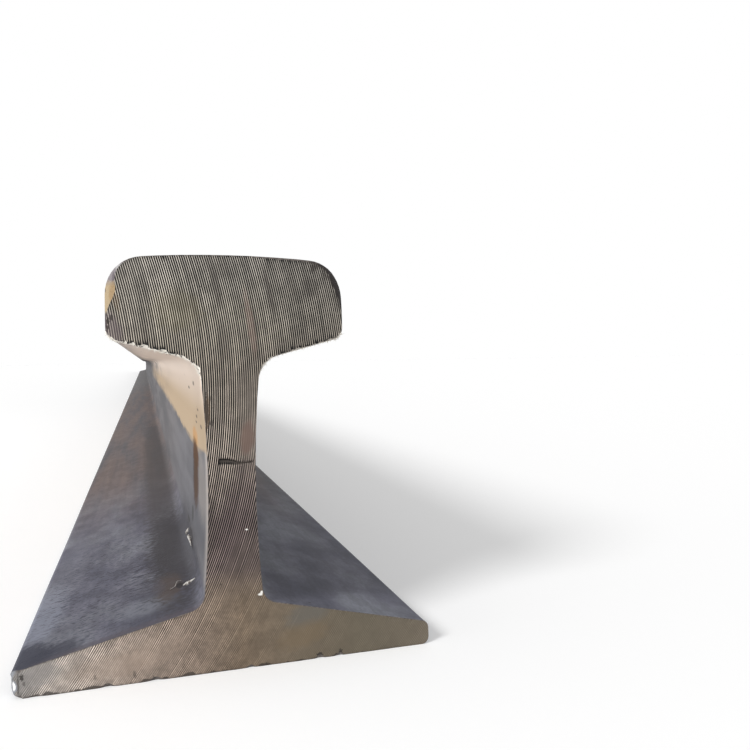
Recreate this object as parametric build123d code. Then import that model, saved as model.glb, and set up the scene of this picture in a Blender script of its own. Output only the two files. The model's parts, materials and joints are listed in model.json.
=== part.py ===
from build123d import *
import os
from math import radians, sqrt, tan

# A length of flat-bottomed railroad rail: one hot-rolled steel section with a crowned head,
# a waisted web and a sloping foot, sawn square at both ends. Millimetres. The rail lies along Y
# and stands on its foot, with the origin in the middle of the underside.

# Overall sizes of the rolled section and the length it is sold in
rail_length = 6000.0
rail_height = 107.95
foot_width = 107.95
head_width = 60.33
web_thickness = 12.3

# Depth of the head at its sides, from the crown down to the lower corner,
# and thickness of the foot at its outer edge
head_side_depth = 21.3
foot_edge_thickness = 6.3

# Slopes that the fishplates wedge between, in degrees from level
head_underside_slope = 15.0
foot_top_slope = 13.4

# Large radii of the crown and of the two hollow web faces
crown_radius = 304.8
web_face_radius = 304.8

# Rounded corners
head_top_corner_radius = 9.5
head_lower_corner_radius = 3.3
web_to_head_radius = 7.0
web_to_foot_radius = 4.5
foot_edge_top_radius = 2.3
foot_edge_bottom_radius = 2.1

# Largest share of its wall that a rounded corner may take
top_corner_share = 0.6
other_corner_share = 0.48

# Heights where each sloping face meets the centre line, if it ran on through the web
half_foot = foot_width / 2
half_head = head_width / 2
foot_peak = foot_edge_thickness + half_foot * tan(radians(foot_top_slope))
head_corner = rail_height - head_side_depth
head_peak = head_corner - half_head * tan(radians(head_underside_slope))
waist_height = (foot_peak + head_peak) / 2


def arc_sag(radius, half_chord):
    """How far an arc of this radius falls away at half a chord from its middle."""
    return radius - sqrt(radius**2 - half_chord**2)


def foot_outline():
    """Flat underside, upright edges, and two top slopes that rise to the centre line."""
    return make_face(
        Polyline(
            (-half_foot, 0),
            (half_foot, 0),
            (half_foot, foot_edge_thickness),
            (0, foot_peak),
            (-half_foot, foot_edge_thickness),
            close=True,
        )
    )


def web_outline():
    """Thin wall with two hollow faces, reaching into the foot and the head so that they join."""
    low = foot_edge_thickness
    high = head_corner
    low_half = web_thickness / 2 + arc_sag(web_face_radius, waist_height - low)
    high_half = web_thickness / 2 + arc_sag(web_face_radius, high - waist_height)
    right_face = ThreePointArc(
        (low_half, low), (web_thickness / 2, waist_height), (high_half, high)
    )
    left_face = ThreePointArc(
        (-high_half, high), (-web_thickness / 2, waist_height), (-low_half, low)
    )
    top_edge = Line((high_half, high), (-high_half, high))
    bottom_edge = Line((-low_half, low), (low_half, low))
    return make_face([bottom_edge, right_face, top_edge, left_face])


def head_outline():
    """Crowned top, upright sides, and two underside slopes that fall to the centre line."""
    shoulder = rail_height - arc_sag(crown_radius, half_head)
    crown = ThreePointArc(
        (half_head, shoulder), (0, rail_height), (-half_head, shoulder)
    )
    sides = Polyline(
        (-half_head, shoulder),
        (-half_head, head_corner),
        (0, head_peak),
        (half_head, head_corner),
        (half_head, shoulder),
    )
    return make_face([sides, crown])


def round_pair(section, pair, radius, room):
    """Rounds the left and right corner of one level, counted upwards from the underside."""
    corners = section.vertices().filter_by(lambda v: v.X > 0).sort_by(Axis.Y)
    height = corners[pair].Y
    level = section.vertices().filter_by(lambda v: abs(v.Y - height) < 1e-6)
    return fillet(level, min(radius, room))


def rail_section():
    """The three outlines joined, with every corner rounded from the top level down.

    Working downwards keeps the count of the levels below unchanged.
    """
    section = foot_outline() + web_outline() + head_outline()
    head_side = head_side_depth - arc_sag(crown_radius, half_head)
    head_overhang = (head_width - web_thickness) / 2
    foot_overhang = (foot_width - web_thickness) / 2
    rounds = [
        (5, head_top_corner_radius, top_corner_share * min(head_side, half_head)),
        (4, head_lower_corner_radius, other_corner_share / 2 * head_side),
        (3, web_to_head_radius, other_corner_share * head_overhang),
        (2, web_to_foot_radius, other_corner_share * foot_overhang),
        (1, foot_edge_top_radius, other_corner_share * foot_edge_thickness),
        (0, foot_edge_bottom_radius, other_corner_share * foot_edge_thickness),
    ]
    for pair, radius, room in rounds:
        section = round_pair(section, pair, radius, room)
    return section


def rail():
    """The section drawn upright in the XZ plane and rolled out equally to both sides of it."""
    upright = Plane.XZ * rail_section()
    return extrude(upright, rail_length / 2, both=True)


os.makedirs("parts", exist_ok=True)
export_step(rail(), "parts/rail.step")
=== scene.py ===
# %% [markdown]
# # A sawn length of railroad rail
# The rail is one hot-rolled bar: a crowned head, a thin web and a wide foot. A circular saw has cut it
# square, and the cut is what the eye goes to: fine curved grooves, a ragged burr under the head, and
# dull blue-grey scale on the rolled faces behind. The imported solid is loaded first, because it fixes
# the size and place of everything that follows.

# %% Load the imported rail
import json
from math import pi, radians, tan

import bpy
import numpy as np
from mathutils import Euler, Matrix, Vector, geometry

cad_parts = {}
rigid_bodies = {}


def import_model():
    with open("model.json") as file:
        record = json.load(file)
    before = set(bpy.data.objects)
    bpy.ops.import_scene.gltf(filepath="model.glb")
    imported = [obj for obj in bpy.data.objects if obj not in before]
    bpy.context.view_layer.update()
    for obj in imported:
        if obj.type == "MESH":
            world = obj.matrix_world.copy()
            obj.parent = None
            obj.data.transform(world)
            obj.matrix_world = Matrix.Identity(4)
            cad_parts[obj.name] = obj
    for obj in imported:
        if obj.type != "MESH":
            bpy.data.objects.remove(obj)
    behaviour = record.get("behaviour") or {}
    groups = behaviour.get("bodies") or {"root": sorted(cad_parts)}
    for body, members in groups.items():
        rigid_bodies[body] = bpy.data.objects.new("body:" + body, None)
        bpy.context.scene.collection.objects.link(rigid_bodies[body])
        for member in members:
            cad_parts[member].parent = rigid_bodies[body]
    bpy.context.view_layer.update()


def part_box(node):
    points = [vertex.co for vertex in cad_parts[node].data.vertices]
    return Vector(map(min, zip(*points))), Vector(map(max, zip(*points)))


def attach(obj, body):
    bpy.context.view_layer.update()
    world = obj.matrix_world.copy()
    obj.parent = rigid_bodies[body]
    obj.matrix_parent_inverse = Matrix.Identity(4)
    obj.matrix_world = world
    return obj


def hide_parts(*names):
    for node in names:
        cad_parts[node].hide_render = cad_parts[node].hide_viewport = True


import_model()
rail_low, rail_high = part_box("rail")

MM = 0.001
rail_length = (rail_high.y - rail_low.y) / MM
near_end = rail_low.y / MM
print("rail length in mm:", round(rail_length, 1), "near end at y", round(near_end, 1))

# %% [markdown]
# ## The camera
# The picture was taken about 20 cm from the sawn end, a little left of the web and just under the level
# of the head. A camera could be moved about by eye, but from so near a small error shows. So its place,
# its turn and its lens were solved from the outline of the end, and are kept here as plain numbers.

# %% Camera
camera_from_end = Vector((-21.2, -194.2, 80.75))
camera_turn = (88.7035, 0.8514, -17.3024)
camera_lens = 35.602
sensor_width = 36.0
nearest_seen = 0.01


def add_object(name, data):
    """A new object that holds the data, put into the scene."""
    made = bpy.data.objects.new(name, data)
    bpy.context.scene.collection.objects.link(made)
    return made


camera = add_object("camera", bpy.data.cameras.new("camera"))
camera.data.sensor_width = sensor_width
camera.data.lens = camera_lens
camera.data.clip_start = nearest_seen
camera.location = (camera_from_end + Vector((0, near_end, 0))) * MM
camera.rotation_euler = Euler([radians(angle) for angle in camera_turn])
bpy.context.scene.camera = camera
print("camera at", [round(v, 4) for v in camera.location])

# %% [markdown]
# ## The rolled section
# The mill's rolls give the bar one outline along its whole length. A bevelled curve could carry such an
# outline, but its points couldn't be called by number, as the sawn rim needs them. So the corner points
# and radii are written down, a small function rounds each corner with an arc, and the hollow web and the
# crowned top follow large circles. The right half runs from the middle of the underside to the middle
# of the crown, and the left half is its mirror image.

# %% Section sizes in millimetres
rail_height = rail_high.z / MM
half_foot = rail_high.x / MM
half_head = 30.165
half_web = 6.15
head_side_depth = 21.3
foot_edge_thickness = 6.3
head_slope = tan(radians(15.0))
foot_slope = tan(radians(13.4))
large_radius = 304.8

foot_sole_radius = 2.1
foot_edge_radius = 2.3
web_foot_radius = 4.5
web_head_radius = 7.0
head_lower_radius = 3.3
head_top_radius = 9.5

foot_peak = foot_edge_thickness + half_foot * foot_slope
head_corner = rail_height - head_side_depth
head_peak = head_corner - half_head * head_slope
waist = (foot_peak + head_peak) / 2


def sag(distance):
    """How far the large circle falls away at a distance from its middle."""
    return large_radius - np.sqrt(large_radius**2 - distance**2)


def web_face(z):
    """Half the web's thickness at a height: thinnest at the waist."""
    return half_web + sag(z - waist)


print("the slopes would meet the middle at", round(foot_peak, 2), "and", round(head_peak, 2), "mm")

# %% Rounded outline
arc_step = radians(9.0)
longest_step = 3.0
above_foot, below_head = 8.0, 10.0
web_points = 6
settling_rounds = 6
crown_places = (18.0, 12.0, 6.0)


def unit(vectors):
    """Vectors divided by their lengths."""
    return vectors / np.linalg.norm(vectors, axis=-1, keepdims=True)


def round_corner(before, corner, after, radius):
    """Points of the arc of this radius that touches both straight sides of a corner."""
    to_before = unit(before - corner)
    to_after = unit(after - corner)
    half_angle = np.arccos(to_before @ to_after) / 2
    reach = radius / np.tan(half_angle)
    centre = corner + unit(to_before + to_after) * radius / np.sin(half_angle)
    start = corner + to_before * reach - centre
    end = corner + to_after * reach - centre
    turn = np.arctan2(start[0] * end[1] - start[1] * end[0], start @ end)
    angles = np.arctan2(start[1], start[0])
    angles = angles + turn * np.linspace(0, 1, int(abs(turn) / arc_step) + 2)
    return centre + radius * np.column_stack([np.cos(angles), np.sin(angles)])


def split_long_steps(line):
    """Divides every step that is longer than the longest step into equal parts."""
    lengths = np.linalg.norm(np.diff(line, axis=0), axis=1)
    parts = np.ceil(lengths / longest_step).astype(int)
    along = np.repeat(np.arange(len(parts)), parts)
    first = np.repeat(np.cumsum(parts) - parts, parts)
    share = (np.arange(parts.sum()) - first) / np.repeat(parts, parts)
    points = line[along] + share[:, None] * (line[along + 1] - line[along])
    return np.vstack([points, line[-1:]])


def half_outline():
    """The right half: straight runs and arcs from the middle of the underside to the crown.

    The heights where the web would meet the two slopes depend on its thickness there, so they are
    worked out again a few times until they settle.
    """
    low_web, high_web = foot_peak, head_peak
    for _ in range(settling_rounds):
        low_web = foot_peak - web_face(low_web) * foot_slope
        high_web = head_peak + web_face(high_web) * head_slope
    web_heights = np.linspace(low_web + above_foot, high_web - below_head, web_points)
    corners = [
        ((0, 0), 0),
        ((half_foot, 0), foot_sole_radius),
        ((half_foot, foot_edge_thickness), foot_edge_radius),
        ((web_face(low_web), low_web), web_foot_radius),
        *[((web_face(z), z), 0) for z in web_heights],
        ((web_face(high_web), high_web), web_head_radius),
        ((half_head, head_corner), head_lower_radius),
        ((half_head, rail_height - sag(half_head)), head_top_radius),
        *[((x, rail_height - sag(x)), 0) for x in crown_places],
        ((0, rail_height), 0),
    ]
    places = np.array([place for place, _ in corners], float)
    runs = []
    for k, (_, radius) in enumerate(corners):
        if radius:
            runs.append(round_corner(places[k - 1], places[k], places[k + 1], radius))
        else:
            runs.append(places[k : k + 1])
    return split_long_steps(np.vstack(runs))


right_half = half_outline()
left_half = right_half[::-1] * [-1, 1]
section = np.vstack([right_half[:-1], left_half[:-1]])
ring_size = len(section)
print("points round the section:", ring_size)

# %% [markdown]
# ## Smooth random numbers
# Nothing on a real bar is even: the feed of the saw wavers, the scale flakes, edges chip. A modifier with
# a noise texture could move points about, but here the same values also have to steer the colours. One
# helper gives smooth random values for whole arrays at once, always the same ones for the same seed.

# %% Smooth noise on arrays
noise_size = 251


def smooth_step(value, start, end):
    """0 before start, 1 after end, and a smooth rise between."""
    share = np.clip((value - start) / (end - start), 0, 1)
    return share * share * (3 - 2 * share)


def smooth_noise(u, v, seed):
    """Random numbers from -1 to 1 on whole places, blended between them by smooth steps."""
    table = np.random.default_rng(seed).uniform(-1, 1, (noise_size, noise_size))
    whole_u = np.floor(u).astype(int)
    whole_v = np.floor(v).astype(int)
    share_u = smooth_step(u - whole_u, 0, 1)
    share_v = smooth_step(v - whole_v, 0, 1)
    this_u, next_u = whole_u % noise_size, (whole_u + 1) % noise_size
    this_v, next_v = whole_v % noise_size, (whole_v + 1) % noise_size
    low = table[this_u, this_v] * (1 - share_u) + table[next_u, this_v] * share_u
    high = table[this_u, next_v] * (1 - share_u) + table[next_u, next_v] * share_u
    return low * (1 - share_v) + high * share_v


def bump(value, centre, width):
    """1 at the centre, falling to nothing a few widths away."""
    return np.exp(-(((value - centre) / width) ** 2))


print("random values in a table:", noise_size**2)

# %% [markdown]
# ## The cut edge
# A saw never leaves a clean corner. The rim of the end is broken by a narrow bevel, wide where the head
# was knocked at its upper corners and at the tip of the foot, and nicked along the underside. A Bevel
# modifier would make it even, so its width is worked out point by point, on a finer ring than the rest
# of the section: each step is cut in eight. Under the head the saw threw up a crumbling white lip, so
# there the band is wider and ragged.

# %% Rim of the sawn end
rim_parts = 8
rim_size = ring_size * rim_parts
lip_start, lip_full = 72.0, 75.0
lip_past_corner = 2.0
facing_start, facing_full = 0.1, 0.5
lip_limit = 0.5


def fine_ring(ring):
    """The ring with each straight step cut into equal parts."""
    share = np.arange(rim_parts)[None, :, None] / rim_parts
    steps = np.roll(ring, -1, axis=0) - ring
    return (ring[:, None] + share * steps[:, None]).reshape(-1, 2)


def outward(ring):
    """Unit normals of a closed ring that runs anticlockwise."""
    along = np.roll(ring, -1, axis=0) - np.roll(ring, 1, axis=0)
    return unit(np.column_stack([along[:, 1], -along[:, 0]]))


section_normal = outward(section)
rim = fine_ring(section)
rim_normal = unit(fine_ring(section_normal))
rim_steps = np.linalg.norm(np.roll(rim, -1, axis=0) - rim, axis=1)
rim_along = np.cumsum(rim_steps) - rim_steps

under_head = smooth_step(rim[:, 1], lip_start, lip_full) * (rim[:, 1] < head_corner + lip_past_corner)
under_head = under_head * smooth_step(-rim_normal[:, 1], facing_start, facing_full)
print("points round the rim:", rim_size, "of them under the head:", np.count_nonzero(under_head > lip_limit))

# %% Width of the bevel
bevel_seed, far_bevel_seed = 3, 8
plain_bevel = 0.12
least_bevel = 0.03
bevel_wander, wander_length = 0.07, 2.4
lip_width = 0.12
lip_right_share = 0.55
lip_crumbs, crumb_length, crumb_lift = 0.6, 0.9, 0.2
tip_width, tip_full = 3.0, 1.0
underside = 0.05

# Each knock and nick has a place, a spread and a width.
knock_left = (99.0, 4.2, 2.3)
knock_right = (101.0, 5.0, 1.7)
knock_tip = (3.0, 3.0, 2.0)
nicks = (
    (-48.0, 1.6, 0.5),
    (-31.5, 1.3, 0.9),
    (-20.0, 1.4, 1.0),
    (4.0, 1.0, 0.7),
    (22.5, 1.1, 0.9),
    (28.0, 1.0, 0.8),
)


def wandering_band(seed):
    """A narrow band whose width wanders along the rim."""
    return plain_bevel + bevel_wander * smooth_noise(rim_along / wander_length, 0 * rim_along, seed)


def bevel_width(seed):
    """The wandering band, wider and crumbling under the head, with the knocks and nicks added."""
    x, z = rim.T
    crumbling = smooth_noise(rim_along / crumb_length, 0 * rim_along, seed + 1)
    crumbling = np.clip(crumbling + crumb_lift, 0, 1)
    lip = under_head * (lip_width + lip_crumbs * crumbling) * np.where(x > 0, lip_right_share, 1.0)
    width = wandering_band(seed) + lip
    knocks = [(knock_left, x < -half_web), (knock_right, x > half_web)]
    knocks += [(knock_tip, x < tip_width - half_foot)]
    for (place, spread, depth), side in knocks:
        width = width + depth * bump(z, place, spread) * side
    for place, spread, depth in nicks:
        width = width + depth * bump(x, place, spread) * (z < underside)
    return np.maximum(width, least_bevel)


near_bevel = bevel_width(bevel_seed)
far_bevel = wandering_band(far_bevel_seed)
print("bevel from", near_bevel.min().round(3), "to", near_bevel.max().round(3), "mm")

# %% [markdown]
# ## Grooves of the saw
# Every tooth of the saw leaves an arc, and all the arcs are copies of one, set side by side by the feed.
# A bump texture could draw them, but raking light shows real relief better, so they are in the mesh.
# Subtracting the arc's own sideways shift from x turns them into straight lines, so one number, the
# distance across the grooves, tells where a point lies in the pattern. Each groove differs a little in
# depth from its neighbours, and the saw polished the right of the foot almost smooth.

# %% Shape of the grooves
saw_radius = 122.0
saw_height = 72.5
saw_pitch, far_pitch = 0.565, 1.1
near_saw_seed, far_saw_seed = 40, 50
groove_depth = 0.10
groove_wander, wander_across, wander_along = 0.25, 7.0, 30.0
crest_mean, crest_spread, crest_along = 0.93, 0.07, 15.0
feed_depth, feed_across, feed_along = 0.06, 5.0, 60.0


def arc_shift(z):
    """Sideways shift of a groove at a height: a circle whose middle lies at the saw's height."""
    return np.sqrt(saw_radius**2 - (z - saw_height) ** 2) - saw_radius


def groove_crest(across, z, pitch, seed):
    """From 0 at the bottom of a groove to 1 at its crest: a cosine whose phase and height wander."""
    phase = across / pitch + groove_wander * smooth_noise(across / wander_across, z / wander_along, seed)
    wave = 0.5 + 0.5 * np.cos(2 * pi * phase)
    return wave * (crest_mean + crest_spread * smooth_noise(phase, z / crest_along, seed + 1))


print("the arcs lean by", (arc_shift(saw_height) - arc_shift(0.0)).round(1), "mm down to the foot")

# %% Where the grooves are worn
# Pairs of numbers in the function are places in millimetres between which the wear comes or goes.
corner_wear = 0.15
web_right_wear = 0.5
web_low_wear, line_gain = 0.85, 0.6
foot_left, foot_fade, foot_band, foot_neck = 0.24, 0.17, 0.30, 0.25
foot_base, foot_lines = 0.85, 1.1
rubbed_wear = 0.85
line_seed, line_across, line_along = 60, 1.1, 40.0


def groove_strength(x, z):
    """1 on the head and the left of the web, next to nothing right on the foot.

    The web is worn smoother on its right, and below a line that leans with the grooves. There and on the
    foot only some of the grooves are left. The left of the foot has one clear band of them, and a rubbed
    patch at the right of the web has lost its own.
    """
    across = x - arc_shift(z)
    head = 1 - corner_wear * smooth_step(-x, 16, 24) * smooth_step(z, 82, 88)
    worn_right = smooth_step(x, -1, 5) * smooth_step(z, 47, 54) * smooth_step(-z, -80, -74)
    worn_below = smooth_step(x - 0.8 - 0.28 * (z - 37), -1.6, 1.2) * smooth_step(-z, -38, -31)
    lines_left = smooth_step(smooth_noise(across / line_across, z / line_along, line_seed), -0.1, 0.4)
    web = 1 - web_right_wear * worn_right - worn_below * (web_low_wear - line_gain * lines_left)
    foot = foot_left - foot_fade * smooth_step(x, -16, 12)
    foot = foot + foot_band * bump(across, -14.2, 3.2) * smooth_step(-x, 16, 24)
    foot = foot + foot_neck * smooth_step(z, 7, 13) * smooth_step(-x, 2, 14)
    foot = foot * (foot_base + foot_lines * lines_left)
    rubbed = 1 - rubbed_wear * bump(x, 4.3, 1.7) * bump(z, 60.5, 4.2)
    return head * rubbed * (foot + (web - foot) * smooth_step(z, 14, 32))


def sawn_depth(x, z, pitch, seed):
    """How far the face lies inside the end plane, with its crests, its across-distance and its strength.

    The depth is the groove's own, worn by the strength, plus slow waves of the feed.
    """
    across = x - arc_shift(z)
    crest = groove_crest(across, z, pitch, seed)
    strength = groove_strength(x, z)
    feed = feed_depth * (1 + smooth_noise(across / feed_across, z / feed_along, seed + 2))
    return groove_depth * strength * (1 - crest) + feed, crest, across, strength


print("strength on head and foot:", groove_strength(np.array([0, 30]), np.array([95, 6])).round(2))

# %% Torn mark on the web
gouge_start, gouge_end = -3.6, 5.9
gouge_height, gouge_depth = 54.45, 0.5
gouge_wave, gouge_turns, gouge_phase, gouge_drop = 0.25, 6.5, 0.4, 0.3
gouge_half_width, gouge_thinning = 0.70, 0.48
thinning_start, thinning_end = 0.25, 0.75
gouge_left_taper, gouge_right_taper = 0.5, 0.6
gouge_wall_shade, gouge_floor_shade, gouge_floor_start = 0.42, 0.60, 0.7


def gouge(x, z):
    """A torn mark across the web: deep at its left, with a thin wavy tail to the right."""
    share = np.clip((x - gouge_start) / (gouge_end - gouge_start), 0, 1)
    middle = gouge_height + gouge_wave * np.sin(share * gouge_turns + gouge_phase) - gouge_drop * share
    half_width = gouge_half_width - gouge_thinning * smooth_step(share, thinning_start, thinning_end)
    left_end = smooth_step(x, gouge_start, gouge_start + gouge_left_taper)
    right_end = smooth_step(-x, -gouge_end, gouge_right_taper - gouge_end)
    return left_end * right_end * np.exp(-(((z - middle) / half_width) ** 4))


print("torn mark in mm:", round(gouge_end - gouge_start, 1), "long and", gouge_depth, "deep")

# %% [markdown]
# ## A grid in the saw's own directions
# The sawn end is a flat face with fine relief. An even grid would cut across the grooves and fray them,
# so rows of points run across the grooves, six points to a groove, and the rows are closer together at
# the torn mark on the web. The grid is trimmed by the rim: points outside it are dropped, and a
# constrained triangulation joins the rest to the rim. It works in the straightened directions, where
# the grid is made of squares, so the triangles follow the grooves.

# %% Trimmed face
arc_reach = 30.0
rim_margin = 0.12
merge_distance = 1e-7
points_per_groove, far_points_per_groove = 6, 5
row_step, rows_below, rows_above = 1.4, 2.0, 3.0
far_row_step, far_rows_below, far_rows_above = 2.8, 4.0, 5.0
torn_row_step, torn_rows_start, torn_rows_end = 0.28, 52.9, 56.2


def inside_rows(ring, heights, places):
    """For every row: which places lie between an odd and an even crossing of the ring."""
    start, end = ring, np.roll(ring, -1, axis=0)
    kept = np.zeros(places.shape, bool)
    for row, height in enumerate(heights):
        crosses = (start[:, 1] > height) != (end[:, 1] > height)
        low, high = start[crosses], end[crosses]
        share = (height - low[:, 1]) / (high[:, 1] - low[:, 1])
        cuts = np.sort(low[:, 0] + share * (high[:, 0] - low[:, 0]))
        kept[row] = np.searchsorted(cuts, places[row]) % 2 == 1
    return kept


def trimmed_face(bevel, step, heights):
    """The ring inside the bevel, grid points a little further in, and triangles that join them."""
    edge = rim - rim_normal * bevel[:, None]
    inner = rim - rim_normal * (bevel[:, None] + rim_margin)
    reach = half_foot + arc_reach
    across, rows = np.meshgrid(np.arange(-reach, reach, step), heights)
    places = across + arc_shift(rows)
    kept = inside_rows(inner, heights, places)
    points = np.vstack([edge, np.column_stack([places[kept], rows[kept]])])
    flat_across = (points[:, 0] - arc_shift(points[:, 1])) / step
    flat_along = np.interp(points[:, 1], heights, np.arange(len(heights)))
    flat = np.column_stack([flat_across, flat_along]).tolist()
    loop = np.column_stack([np.arange(len(edge)), np.roll(np.arange(len(edge)), -1)]).tolist()
    found, _, triangles, _, _, _ = geometry.delaunay_2d_cdt(flat, loop, [], 1, merge_distance)
    assert len(found) == len(points), "the trimming split or merged points"
    return points, np.array(triangles)


torn_rows = np.arange(torn_rows_start, torn_rows_end, torn_row_step)
near_rows = np.arange(-rows_below, rail_height + rows_above, row_step)
near_rows = np.unique(np.concatenate([near_rows, torn_rows]).round(3))
far_rows = np.arange(-far_rows_below, rail_height + far_rows_above, far_row_step)
near_points, near_triangles = trimmed_face(near_bevel, saw_pitch / points_per_groove, near_rows)
far_points, far_triangles = trimmed_face(far_bevel, far_pitch / far_points_per_groove, far_rows)
print("triangles of the near face:", len(near_triangles), "and of the far face:", len(far_triangles))

# %% [markdown]
# ## The whole rail as one closed surface
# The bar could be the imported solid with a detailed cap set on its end, but then a seam would show at the
# broken rim. So rings of points are stacked along it: bevel rings at each end, then the rolled section
# at distances that grow by a constant factor, because the near part is seen close and the far part
# small. The rolled faces are pressed in by a tenth of a millimetre here and there, as scale and
# straightening leave them, and never stand proud of the true section.

# %% Rings along the bar
body_start, growth = 5.0, 1.15
skin_wave, dent_points, dent_length, skin_seed = 0.12, 6, 70.0, 21
back_start, back_share, tip_back_share = 0.08, 0.75, 1.9
bevel_middle, middle_back = 0.45, 0.42

growth_steps = int(np.log(rail_length / 2 / body_start) / np.log(growth))
half_stations = body_start * growth ** np.arange(growth_steps + 1)
stations = np.concatenate([half_stations, rail_length - half_stations[::-1]])


def skin_ring(station):
    """The section, pressed in a little by smooth noise over the distance round and along it."""
    along = np.full(ring_size, station / dent_length)
    dents = 0.5 * skin_wave * (1 + smooth_noise(np.arange(ring_size) / dent_points, along, skin_seed))
    ring = section - section_normal * dents[:, None]
    return np.insert(ring, 1, near_end + station, axis=1)


def rim_rings(bevel, edge_depth, at_end):
    """Two rings of the bevel: half way up it, and where it meets the rolled skin, longer at the tip."""
    tip = smooth_step(-rim[:, 0], half_foot - tip_width, half_foot - tip_full)
    back = back_start + bevel * (back_share + tip_back_share * tip)
    middle = rim - rim_normal * bevel[:, None] * bevel_middle
    middle = np.insert(middle, 1, at_end(edge_depth + middle_back * (back - edge_depth).clip(0)), axis=1)
    skin = np.insert(rim, 1, at_end(np.maximum(back, edge_depth + least_bevel)), axis=1)
    return middle, skin


def from_near(depth):
    """The y of a depth inside the near end."""
    return near_end + depth


def from_far(depth):
    """The y of a depth inside the far end."""
    return near_end + rail_length - depth


body = np.vstack([skin_ring(station) for station in stations])
print("rings along the body:", len(stations))

# %% Relief of the two ends
near_depth, near_crest, near_across, near_strength = sawn_depth(*near_points.T, saw_pitch, near_saw_seed)
far_depth, far_crest, far_across, far_strength = sawn_depth(*far_points.T, far_pitch, far_saw_seed)
torn = gouge(*near_points.T)
torn_floor = smooth_step(torn, gouge_floor_start, 1.0)
torn_shade = gouge_wall_shade + (gouge_floor_shade - gouge_wall_shade) * torn_floor
near_depth = near_depth + gouge_depth * torn
near_crest = near_crest * (1 - torn) + torn_shade * torn
near_face = np.insert(near_points, 1, from_near(near_depth), axis=1)
far_face = np.insert(far_points, 1, from_far(far_depth), axis=1)
near_middle, near_skin = rim_rings(near_bevel, near_depth[:rim_size], from_near)
far_middle, far_skin = rim_rings(far_bevel, far_depth[:rim_size], from_far)
print("deepest point of the near end in mm:", near_depth.max().round(2))

# %% Join the rings into one mesh
sawn_slot, edge_slot, skin_slot = 0, 1, 2
blocks = [near_face, near_middle, near_skin, body, far_skin, far_middle, far_face]
starts = np.cumsum([0] + [len(block) for block in blocks])
vertices = np.vstack(blocks) * MM
near_face_at, near_middle_at, near_skin_at, body_at, far_skin_at, far_middle_at, far_face_at = starts[:-1]


def band(first, second, size):
    """Quads between two rings of equal size, the first one nearer, facing outwards."""
    here = np.arange(size)
    ahead = (here + 1) % size
    return np.column_stack([first + here, second + here, second + ahead, first + ahead])


def fan(rim_at, ring_at):
    """Triangles that join each step of the coarse ring to its eight steps of the fine one."""
    here = np.arange(ring_size)
    ahead = (here + 1) % ring_size
    fine = [rim_at + (here * rim_parts + k) % rim_size for k in range(rim_parts + 1)]
    left, right = ring_at + here, ring_at + ahead
    half = rim_parts // 2
    corners = [(left, fine[k + 1], fine[k]) for k in range(half)]
    corners += [(left, right, fine[half])]
    corners += [(right, fine[k + 1], fine[k]) for k in range(half, rim_parts)]
    return np.vstack([np.column_stack(corner) for corner in corners])


rings_at = body_at + ring_size * np.arange(len(stations))
body_bands = [band(here, ahead, ring_size) for here, ahead in zip(rings_at, rings_at[1:])]
parts = [
    (band(near_face_at, near_middle_at, rim_size), edge_slot),
    (band(near_middle_at, near_skin_at, rim_size), edge_slot),
    (np.vstack(body_bands), skin_slot),
    (band(far_skin_at, far_middle_at, rim_size), edge_slot),
    (band(far_middle_at, far_face_at, rim_size), edge_slot),
    (near_triangles + near_face_at, sawn_slot),
    (fan(near_skin_at, body_at), skin_slot),
    (fan(far_skin_at, rings_at[-1])[:, ::-1], skin_slot),
    (far_triangles[:, ::-1] + far_face_at, sawn_slot),
]
faces = [face for part, _ in parts for face in part.tolist()]
slots = np.concatenate([np.full(len(part), index) for part, index in parts])
print("points:", len(vertices), "triangles:", sum(len(face) - 2 for face in faces))


# %% Write the mesh
def new_mesh(name, points, faces):
    """A smooth-shaded mesh object at the origin from points in metres."""
    mesh = bpy.data.meshes.new(name)
    mesh.from_pydata(points.tolist(), [], faces)
    mesh.polygons.foreach_set("use_smooth", np.ones(len(mesh.polygons), bool))
    return add_object(name, mesh)


rail = new_mesh("rail_surface", vertices, faces)
rail.data.polygons.foreach_set("material_index", slots.astype(np.int32))

saw_data = np.zeros((len(vertices), 3), np.float32)
saw_data[near_face_at:near_middle_at] = np.column_stack([near_across, near_crest, near_strength])
saw_data[far_face_at:] = np.column_stack([far_across, far_crest, far_strength])
saw = rail.data.attributes.new("saw", "FLOAT_VECTOR", "POINT")
saw.data.foreach_set("vector", saw_data.ravel())

edge_ends = np.empty(len(rail.data.edges) * 2, np.int32)
rail.data.edges.foreach_get("vertices", edge_ends)
edge_ends = edge_ends.reshape(-1, 2)
apart = np.abs(edge_ends[:, 0] - edge_ends[:, 1])
sharp = np.zeros(len(edge_ends), bool)
for ring_at in (near_face_at, near_skin_at, far_skin_at, far_face_at):
    on_ring = ((edge_ends >= ring_at) & (edge_ends < ring_at + rim_size)).all(axis=1)
    sharp |= on_ring & ((apart == 1) | (apart == rim_size - 1))
sharp_edges = rail.data.attributes.new("sharp_edge", "BOOLEAN", "EDGE")
sharp_edges.data.foreach_set("value", sharp)
print("sharp edges:", np.count_nonzero(sharp))

# %% [markdown]
# ## A map for the bake
# When the materials are baked, the whole rail is painted on one square picture. A map made by area
# would give nearly all of it to six metres of plain skin. This one lays the two sawn ends flat, the near
# one large, and unrolls the skin into a strip with more room near that end. No material reads it, so
# the looks don't depend on it.

# %% Share out the picture
near_corner, near_side = np.array([0.005, 0.385]), 0.61
far_corner, far_side = np.array([0.635, 0.635]), 0.36
strip_height = 0.37
strip_stations = (0, 120, 700, rail_length)
strip_places = (0.0, 0.4, 0.65, 1.0)

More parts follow.
